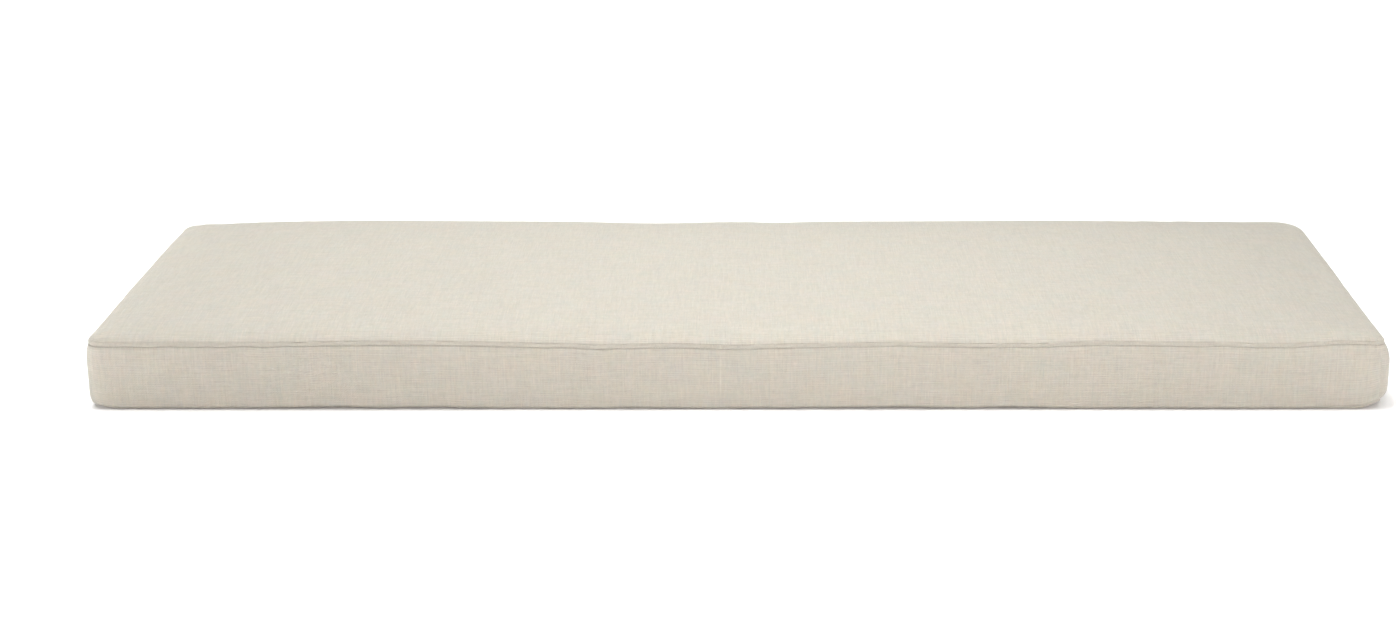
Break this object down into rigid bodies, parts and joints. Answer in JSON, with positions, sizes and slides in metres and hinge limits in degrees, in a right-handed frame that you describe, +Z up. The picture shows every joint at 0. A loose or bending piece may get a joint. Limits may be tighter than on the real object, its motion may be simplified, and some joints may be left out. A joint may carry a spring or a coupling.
{
  "type": "sofa seat cushion",
  "caption": "Long box-edge sofa seat cushion in oatmeal linen-look cloth, with a low crowned top and a thin self welt along its top and bottom seams.",
  "frame": {"origin": "centre of the flat underside, on the surface the cushion rests on", "axes": "+X along the cushion's length, +Y from its front edge to its back, +Z up through its thickness"},
  "size_m": [1.8528, 0.6202, 0.1205],
  "materials": {
    "cover_cloth": "matte heathered linen-look plain weave, oatmeal",
    "welt_cloth": "matte, the cover's own cloth wrapped round a thin cord"
  },
  "bodies": {
    "root": {"cushion": "cover_cloth", "welt_top": "welt_cloth", "welt_bottom": "welt_cloth"}
  },
  "joints": []
}
